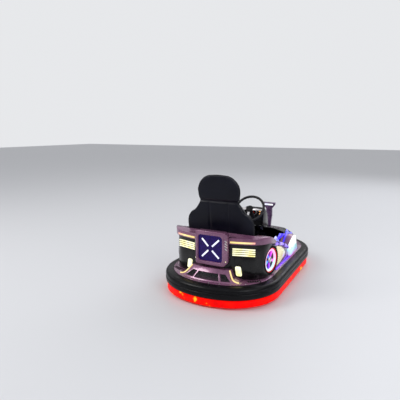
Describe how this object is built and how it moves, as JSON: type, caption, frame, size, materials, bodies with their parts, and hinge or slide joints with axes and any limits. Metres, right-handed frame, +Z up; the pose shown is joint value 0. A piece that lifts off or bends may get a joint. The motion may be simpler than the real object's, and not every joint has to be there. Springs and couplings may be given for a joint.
{
  "type": "bumper car",
  "caption": "One-seat electric bumper car with a rubber ring, glowing skirt, lit body panels, high padded seat, steering wheel and steered drive wheel.",
  "frame": {"origin": "middle of the car at floor level, under the centre of the rubber ring", "axes": "+X forward out of the nose, +Y to the driver's left, +Z up"},
  "size_m": [2, 1.13, 1.11],
  "materials": {
    "ring_rubber": "satin",
    "skirt_red": "translucent, lit from inside",
    "dark_steel": "satin",
    "battery_case": "plain",
    "wheel_tyre": "solid rubber",
    "plum_paint": "gloss",
    "gloss_black": "gloss",
    "matte_black": "grained",
    "lamp_blue": "deep blue lamp cover",
    "lamp_white": "lit from inside",
    "lamp_warm": "lit from inside",
    "lamp_violet": "lit from inside",
    "blade_blue": "translucent, lit from inside",
    "lamp_amber": "lamp cover",
    "pedal_metal": "brushed",
    "socket_metal": "machined",
    "black_vinyl": "grained vinyl"
  },
  "bodies": {
    "car": {"bumper_ring": "ring_rubber", "light_skirt": "skirt_red", "chassis_plate": "dark_steel", "chassis_tubes": "dark_steel", "rear_axle_mounts": "dark_steel", "steering_column": "dark_steel", "battery_pack": "battery_case", "body_ledge": "plum_paint", "rear_valance": "plum_paint", "rear_deck": "plum_paint", "cross_lamp_frame": "plum_paint", "side_walls": "plum_paint", "front_fenders": "plum_paint", "nose_mast": "plum_paint", "rear_fascia": "gloss_black", "cabin_tub": "gloss_black", "nose_shell": "gloss_black", "dash_cowl": "gloss_black", "dash_panel": "gloss_black", "drive_housing": "matte_black", "seat_base": "matte_black", "seat_shell": "matte_black", "cross_lamp_panel": "lamp_blue", "cross_lamp_bars": "lamp_white", "side_wheels": "lamp_white", "corner_lamps": "lamp_white", "nose_lamp": "lamp_white", "mast_light_bar": "lamp_white", "tail_lamps": "lamp_warm", "deck_light_strips": "lamp_warm", "rear_marker_lamps": "lamp_warm", "side_lamps": "lamp_warm", "head_lamps": "lamp_warm", "arch_lights": "lamp_violet", "fender_blades": "blade_blue", "beacon": "lamp_amber", "pedals": "pedal_metal", "charge_socket": "socket_metal", "seat_cushion": "black_vinyl", "seat_back_pad": "black_vinyl"},
    "drive_fork": {"drive_fork": "dark_steel"},
    "drive_wheel": {"drive_wheel": "wheel_tyre"},
    "rear_wheel_left": {"rear_wheel_left": "wheel_tyre"},
    "rear_wheel_right": {"rear_wheel_right": "wheel_tyre"},
    "steering_wheel": {"steering_wheel": "matte_black"}
  },
  "joints": [
    {"name": "fork_steer", "type": "hinge", "parent": "car", "child": "drive_fork", "pos_m": [0.61, 0, 0.24], "axis": [0, 0, 1], "continuous": true},
    {"name": "drive_wheel_spin", "type": "hinge", "parent": "drive_fork", "child": "drive_wheel", "pos_m": [0.61, 0, 0.1], "axis": [0, 1, 0], "continuous": true},
    {"name": "rear_wheel_left_spin", "type": "hinge", "parent": "car", "child": "rear_wheel_left", "pos_m": [-0.56, 0.4, 0.1], "axis": [0, 1, 0], "continuous": true},
    {"name": "rear_wheel_right_spin", "type": "hinge", "parent": "car", "child": "rear_wheel_right", "pos_m": [-0.56, -0.4, 0.1], "axis": [0, 1, 0], "continuous": true},
    {"name": "steering_turn", "type": "hinge", "parent": "car", "child": "steering_wheel", "pos_m": [0.168, 0, 0.66], "axis": [-0.753, 0, 0.658], "continuous": true}
  ],
  "couplings": [
    {"joint": "steering_turn", "follows": "fork_steer", "ratio": 1}
  ]
}
